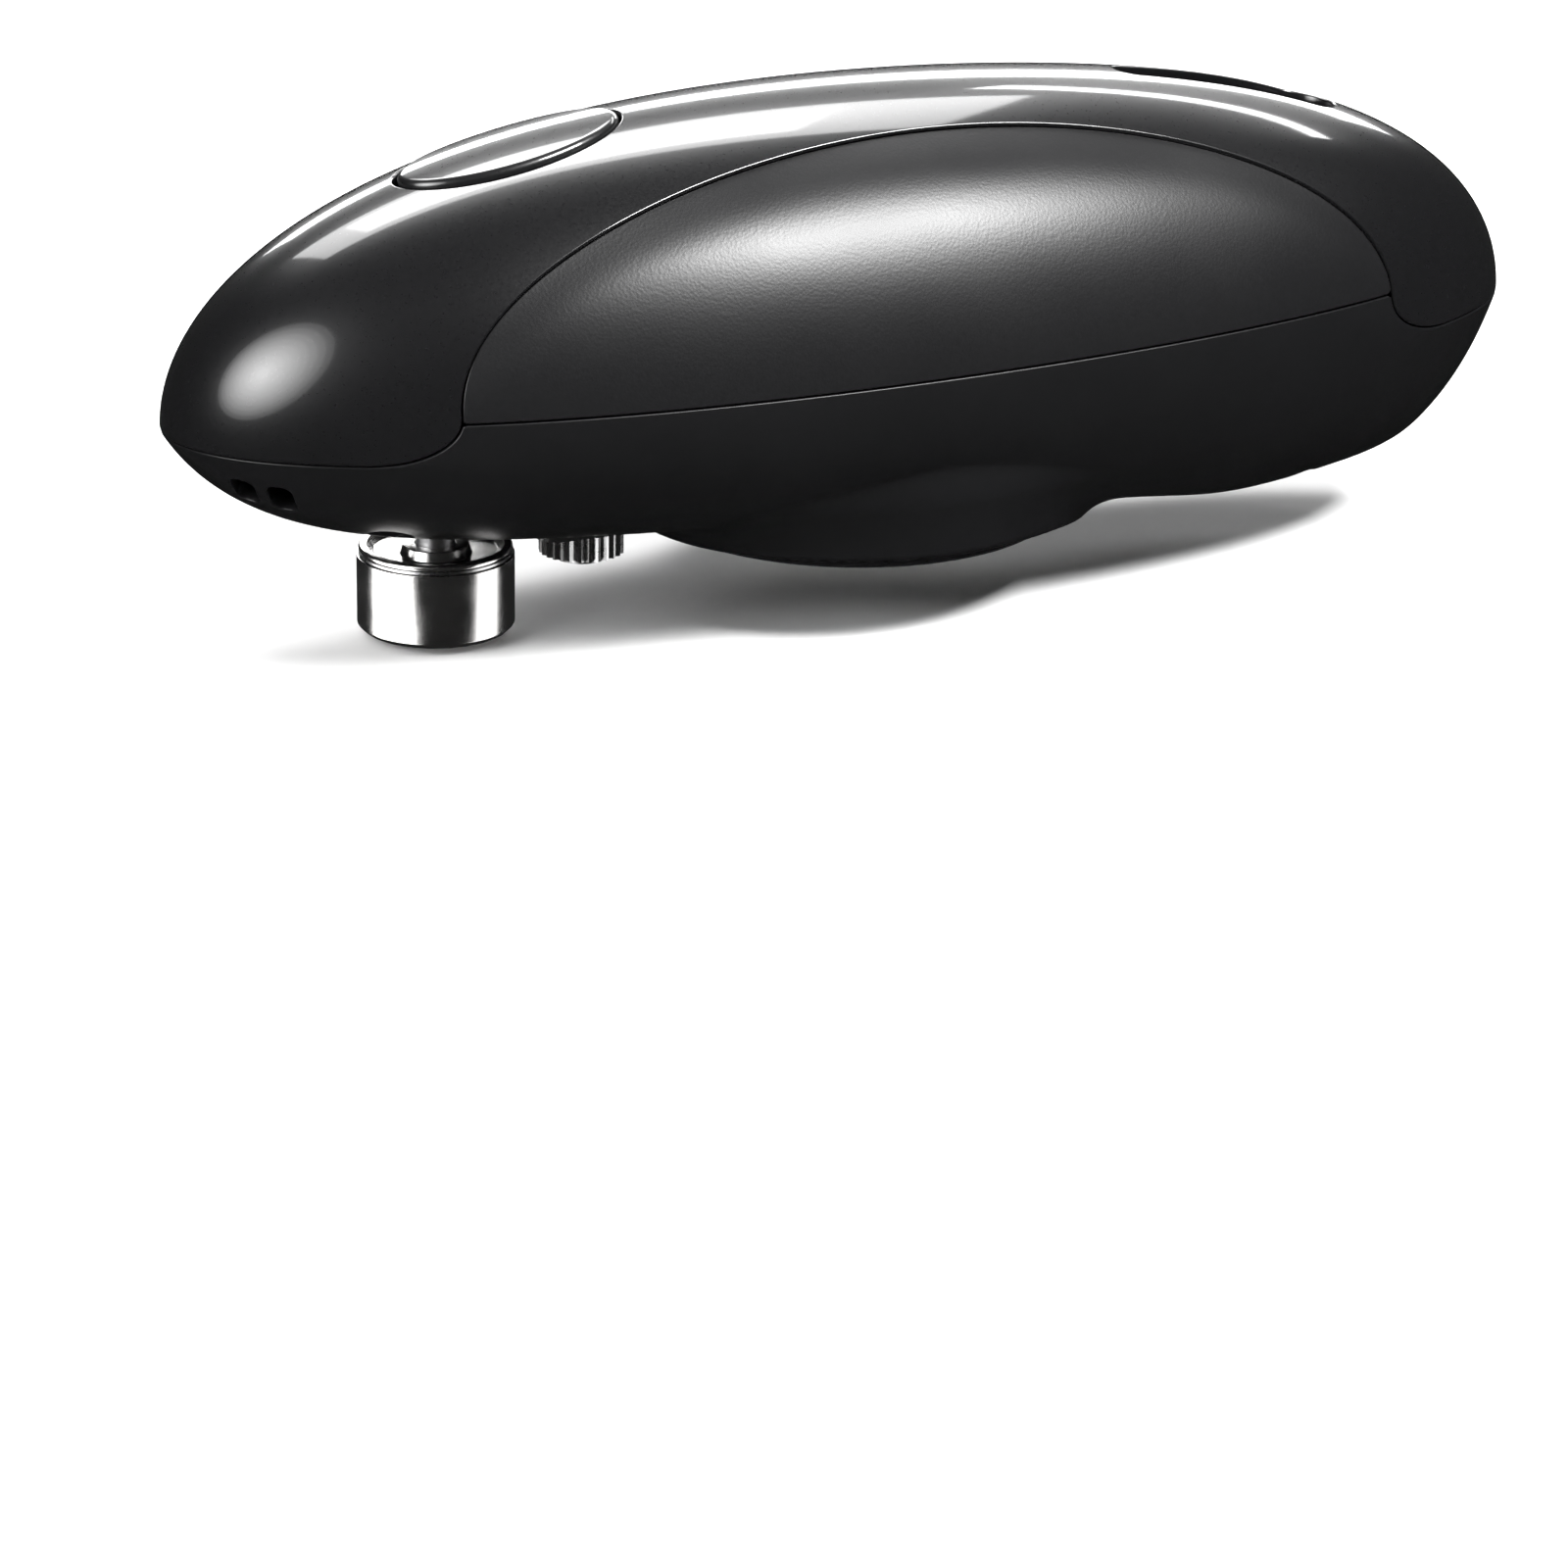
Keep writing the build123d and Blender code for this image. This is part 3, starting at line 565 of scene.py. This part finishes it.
def colour_mix(nodes, links, factor, dark, light):
    node = nodes.new("ShaderNodeMix")
    node.data_type = "RGBA"
    node.inputs["A"].default_value = (*dark, 1)
    node.inputs["B"].default_value = (*light, 1)
    links.new(factor, node.inputs["Factor"])
    return node.outputs["Result"]


def bump(nodes, links, height, distance, strength, before=None):
    node = nodes.new("ShaderNodeBump")
    node.inputs["Distance"].default_value = distance
    node.inputs["Strength"].default_value = strength
    links.new(height, node.inputs["Height"])
    if before is not None:
        links.new(before, node.inputs["Normal"])
    return node.outputs["Normal"]


def stretched(nodes, links, vector, scale):
    node = nodes.new("ShaderNodeMapping")
    node.inputs["Scale"].default_value = scale
    links.new(vector, node.inputs["Vector"])
    return node.outputs["Vector"]


def plastic(name, base, roughness, coat=0.0, coat_roughness=0.05, specular=0.5, fine=0.0000003):
    """Moulded plastic: faint colour and gloss variation, a slow ripple and a very fine moulded skin."""
    material, nodes, links, shader, where = new_material(
        name, base, roughness, coat=coat, coat_roughness=coat_roughness, specular=specular
    )
    place = where.outputs["Object"]
    slow = noise(nodes, links, place, 60)
    quick = noise(nodes, links, place, 2600, 4.0)
    lighter = tuple(min(1, c * 1.25 + 0.001) for c in base)
    links.new(colour_mix(nodes, links, slow, base, lighter), shader.inputs["Base Color"])
    links.new(remap(nodes, links, quick, roughness * 0.9, roughness * 1.1), shader.inputs["Roughness"])
    first = bump(nodes, links, slow, 0.000004, 0.25)
    links.new(bump(nodes, links, quick, fine, 0.35, first), shader.inputs["Normal"])
    return material


def pebble(name, base, roughness, cell=0.00024, height=0.00002, specular=0.5):
    """Plastic with a moulded pebble grain like fine leather."""
    material, nodes, links, shader, where = new_material(name, base, roughness, specular=specular)
    place = where.outputs["Object"]
    cells = nodes.new("ShaderNodeTexVoronoi")
    cells.feature = "SMOOTH_F1"
    cells.inputs["Scale"].default_value = 1 / cell / 1.6
    cells.inputs["Smoothness"].default_value = 0.6
    links.new(place, cells.inputs["Vector"])
    wrinkle = noise(nodes, links, place, 1 / cell / 2.4, 4.0, 0.6)
    mix = nodes.new("ShaderNodeMath")
    mix.operation = "MULTIPLY_ADD"
    mix.inputs[1].default_value = 0.8
    links.new(cells.outputs["Distance"], mix.inputs[0])
    links.new(wrinkle, mix.inputs[2])
    slow = noise(nodes, links, place, 45)
    lighter = tuple(c * 1.5 + 0.002 for c in base)
    links.new(colour_mix(nodes, links, wrinkle, base, lighter), shader.inputs["Base Color"])
    links.new(remap(nodes, links, slow, roughness * 0.94, roughness * 1.06), shader.inputs["Roughness"])
    links.new(bump(nodes, links, mix.outputs[0], height, 0.5), shader.inputs["Normal"])
    return material


def metal(name, base, roughness, line=(1, 1, 90), height=0.000006, scale=500):
    """Turned or brushed steel: fine lines across the stretched direction, uneven gloss, slight stains."""
    material, nodes, links, shader, where = new_material(name, base, roughness, metallic=1.0)
    place = where.outputs["Object"]
    lines = noise(nodes, links, stretched(nodes, links, place, line), scale, 5.0, 0.7)
    cloud = noise(nodes, links, place, 220, 3.0)
    darker = tuple(c * 0.82 for c in base)
    lighter = tuple(min(1, c * 1.12) for c in base)
    links.new(colour_mix(nodes, links, lines, darker, lighter), shader.inputs["Base Color"])
    links.new(remap(nodes, links, cloud, roughness * 0.8, roughness * 1.25), shader.inputs["Roughness"])
    links.new(bump(nodes, links, lines, height, 0.5), shader.inputs["Normal"])
    return material


looks = {
    "gloss_black": plastic("gloss_black", (0.004, 0.004, 0.0045), 0.3, 1.0, 0.07, specular=0.35),
    "textured_black": pebble("textured_black", (0.0045, 0.0045, 0.005), 0.34),
    "matte_black": plastic("matte_black", (0.0045, 0.0045, 0.005), 0.34, specular=0.35, fine=0.000001),
    "button_black": plastic("button_black", (0.006, 0.006, 0.0065), 0.3, 1.0, 0.04, specular=0.45),
    "smoked_window": plastic("smoked_window", (0.004, 0.004, 0.005), 0.14, coat=0.6),
    "clear_plastic": plastic("clear_plastic", (0.55, 0.57, 0.6), 0.2),
    "roller_steel": metal("roller_steel", (0.62, 0.61, 0.6), 0.2),
    "cutting_steel": metal("cutting_steel", (0.42, 0.42, 0.42), 0.3, line=(1, 40, 1)),
    "plain_steel": metal("plain_steel", (0.5, 0.5, 0.51), 0.34, line=(1, 1, 1)),
    "spring_steel": metal("spring_steel", (0.6, 0.6, 0.61), 0.2, line=(1, 1, 1)),
    "gear_brass": metal("gear_brass", (0.72, 0.52, 0.22), 0.3, line=(1, 1, 20)),
    "gear_nylon": plastic("gear_nylon", (0.62, 0.6, 0.54), 0.5),
    "motor_steel": metal("motor_steel", (0.55, 0.55, 0.55), 0.28),
    "inner_plastic": plastic("inner_plastic", (0.03, 0.03, 0.032), 0.5),
    "board_green": plastic("board_green", (0.012, 0.09, 0.035), 0.4),
    "component_black": plastic("component_black", (0.012, 0.012, 0.012), 0.5),
    "cell_wrap": plastic("cell_wrap", (0.02, 0.09, 0.28), 0.3),
    "socket_steel": metal("socket_steel", (0.62, 0.62, 0.63), 0.22, line=(1, 1, 1)),
    "magnet_nickel": metal("magnet_nickel", (0.6, 0.59, 0.56), 0.22, line=(1, 1, 1)),
}


def finish_piece(obj, body, slot, *nodes):
    obj.data.materials.clear()
    obj.data.materials.append(looks[slot])
    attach(obj, body)
    if nodes:
        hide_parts(*nodes)
    return obj


# every carried-over CAD node takes its own slot's material
for row in frame["record"]["subparts"]:
    mesh = frame["nodes"][row["node"]].data
    mesh.materials.clear()
    mesh.materials.append(looks[row["material_slot"]])


# ---------------------------------------------------------------- casing
def make_casing():
    us, vs = spread(-1.01, 1.01, 0.0034), spread(-1.01, 1.01, 0.011)
    cover = shell_piece("cover_skin", dome, cover_field, us, vs, cover_lip, wall)
    finish_piece(cover, "housing", "gloss_black", "top_cover")
    for side, label in ((-1, "left"), (1, "right")):
        us, vs = spread(-0.67, 0.67, 0.0034), side * spread(0.1, 1.0, 0.009)
        field = panel_field(side)
        panel = shell_piece(f"panel_skin_{label}", panel_surface, field, us, vs, panel_lip, wall)
        finish_piece(panel, "housing", "textured_black", f"side_panel_{label}")
    us, vs = spread(-1.62, 1.62, 0.0045), spread(-1.62, 1.62, 0.0125)
    lower = shell_piece("lower_skin", lower_surface, lower_field, us, vs, lower_lip, wall, body_distance)
    finish_piece(lower, "housing", "matte_black", "lower_shell")


def plan_surface(middle, inset):
    def surface(uv):
        x, y = uv[:, 0] + middle, uv[:, 1]
        return np.stack([x, y, dome_height(x, y, inset)], 1)
    return surface


def make_button_and_window():
    def button_field(p):
        return -ellipse_distance(p[:, 0] - button_x, p[:, 1], *button_half)

    us, vs = spread(-15.5, 15.5, 0.3), spread(-8.8, 8.8, 0.3)
    top = plan_surface(button_x, -button_proud)
    button = shell_piece("button_cap", top, button_field, us, vs, button_lip, button_skirt, steps=8)
    finish_piece(button, "button", "button_black", "start_button")

    def window_field(p):
        edge = taper_distance(p[:, 0], p[:, 1], window_start, window_end, window_narrow, window_wide)
        return -edge - window_clear

    middle = (window_low[0] + window_high[0]) / 2
    us, vs = spread(-18, 18, 0.3), spread(-6, 6, 0.3)
    lens = plan_surface(middle, window_depth)
    window = shell_piece("window_lens", lens, window_field, us, vs, window_lip, window_thick)
    finish_piece(window, "housing", "smoked_window", "indicator_window")


# ---------------------------------------------------------------- cutter side
def make_turned():
    low, high = box_mm("roller_drum")
    r = (high[0] - low[0]) / 2
    bore = roller_bore
    bottom, top, groove = low[2], high[2] - 0.1, -1.45
    profile = [
        (bore, bottom + 0.35), (4.2, bottom + 0.35), (4.5, bottom), (r - 0.7, bottom), (r, bottom + 0.7),
        (r, groove - 0.3), (r - 0.8, groove - 0.3), (r - 0.8, groove + 0.3), (r - 0.25, groove + 0.3),
        (r - 0.25, top - 0.3), (r - 0.45, top), (r - 1.3, top), (r - 2.2, top - 0.9),
        (4.6, top - 1.3), (4.2, top), (bore, top),
    ]
    drum = turned_piece("roller_body", profile, (roller_x, 0))
    finish_piece(drum, "roller", "roller_steel", "roller_drum")
    low, high = box_mm("pedestal_disc")
    r, hole = (high[0] - low[0]) / 2, pedestal_bore
    bottom, top = low[2], high[2]
    profile = [
        (hole, top), (r, top), (r, top - 1.2), (r - 0.8, top - 1.7), (r - 4.6, top - 1.7),
        (r - 5.2, top - 2.1), (r - 5.2, bottom + 0.5), (r - 5.9, bottom), (hole + 2.0, bottom),
        (hole, bottom + 0.6),
    ]
    disc = turned_piece("pedestal_body", profile, (pedestal_x, 0), soft=0.35)
    finish_piece(disc, "housing", "gloss_black", "pedestal_disc")


make_casing()
make_button_and_window()
make_turned()


# ---------------------------------------------------------------- stage, light and camera
world_light = 0.02
lights = [
    # name, direction from the object, distance, width and height, power, steps from edge to middle
    ("overhead", (0.12, 0.55, 0.82), 1.3, (1.2, 0.5), 20, 3),
    ("back", (0.38, 0.8, 0.3), 1.3, (1.3, 0.22), 8, 1),
    ("tail_strip", (0.66, 0.46, 0.56), 1.2, (0.6, 0.05), 1.6, 1),
    ("panel_key", (0.37, -0.50, 0.77), 1.1, (0.42, 0.26), 24, 1),
    ("nose_key", (-0.86, -0.22, 0.46), 0.9, (0.75, 0.75), 7, 9),
]
# these reach only the steel of the cutter side
roller_lights = [
    ("roller_left", (-1.0, 0.0, -0.36), 0.4, (0.5, 0.5), 5.0, 1),
    ("roller_right", (0.84, -0.54, -0.36), 0.4, (0.26, 0.5), 1.2, 1),
    ("roller_top", (0.3, 0.9, 0.4), 0.8, (0.5, 0.3), 2.0, 1),
]


def make_floor():
    size = 4.0
    level = cad_box[0].z - 0.0002
    mesh = bpy.data.meshes.new("floor")
    corners = [(-size, -size, level), (size, -size, level), (size, size, level), (-size, size, level)]
    mesh.from_pydata(corners, [], [(0, 1, 2, 3)])
    floor = bpy.data.objects.new("floor", mesh)
    bpy.context.scene.collection.objects.link(floor)
    paper, nodes, links, shader, where = new_material("floor_paper", (0.9, 0.9, 0.9), 0.7, specular=0.1)
    grain = noise(nodes, links, where.outputs["Object"], 300, 4.0)
    shade = colour_mix(nodes, links, grain, (0.87, 0.87, 0.87), (0.92, 0.92, 0.92))
    links.new(shade, shader.inputs["Base Color"])
    mesh.materials.append(paper)
    floor.visible_glossy = False


camera_at = (-0.3202, -0.6238, 0.2261)
camera_azimuth = -26.45
camera_elevation = 20.97
camera_roll = 0.89
camera_lens = 129.4


def make_camera():
    camera = bpy.data.cameras.new("camera")
    camera.sensor_width = 36
    camera.lens = camera_lens
    camera.clip_start, camera.clip_end = 0.05, 20
    obj = bpy.data.objects.new("camera", camera)
    bpy.context.scene.collection.objects.link(obj)
    turn = Matrix.Rotation(math.radians(camera_azimuth), 4, "Z")
    tilt = Matrix.Rotation(math.radians(90 - camera_elevation), 4, "X")
    roll = Matrix.Rotation(math.radians(camera_roll), 4, "Z")
    obj.matrix_world = Matrix.Translation(camera_at) @ turn @ tilt @ roll
    bpy.context.scene.camera = obj


def make_light(name, direction, distance, size, power, steps, middle, receivers=None):
    """A softbox that brightens towards its middle: panels of growing size at one place."""
    at = middle + Vector(direction).normalized() * distance
    for step in range(steps):
        share = (step + 1) / steps
        light = bpy.data.lights.new(f"{name}_{step}", "AREA")
        light.shape = "ELLIPSE" if steps > 3 else "RECTANGLE"
        light.size, light.size_y = size[0] * share, size[1] * share
        light.energy = power * share**2 / sum((k / steps) ** 2 for k in range(1, steps + 1))
        obj = bpy.data.objects.new(f"{name}_{step}", light)
        bpy.context.scene.collection.objects.link(obj)
        obj.location = at + (middle - at).normalized() * 0.002 * (steps - step)
        obj.rotation_mode = "QUATERNION"
        obj.rotation_quaternion = (middle - at).to_track_quat("-Z", "Y")
        if receivers is not None:
            obj.light_linking.receiver_collection = receivers


def make_lighting():
    world = bpy.data.worlds.new("studio")
    world.use_nodes = True
    world.node_tree.nodes["Background"].inputs["Color"].default_value = (1, 1, 1, 1)
    world.node_tree.nodes["Background"].inputs["Strength"].default_value = world_light
    bpy.context.scene.world = world
    for row in lights:
        make_light(*row, Vector((0, 0, 0.03)))
    steel = bpy.data.collections.new("steel_parts")
    steel.objects.link(bpy.data.objects["roller_body"])
    for name in ("feed_wheel", "feed_screw", "roller_shaft", "roller_screw", "cutter_disc"):
        steel.objects.link(frame["nodes"][name])
    for row in roller_lights:
        make_light(*row, Vector((roller_x * MM, 0, -0.006)), steel)
    bpy.context.scene.view_settings.view_transform = "Standard"


make_floor()
make_camera()
make_lighting()
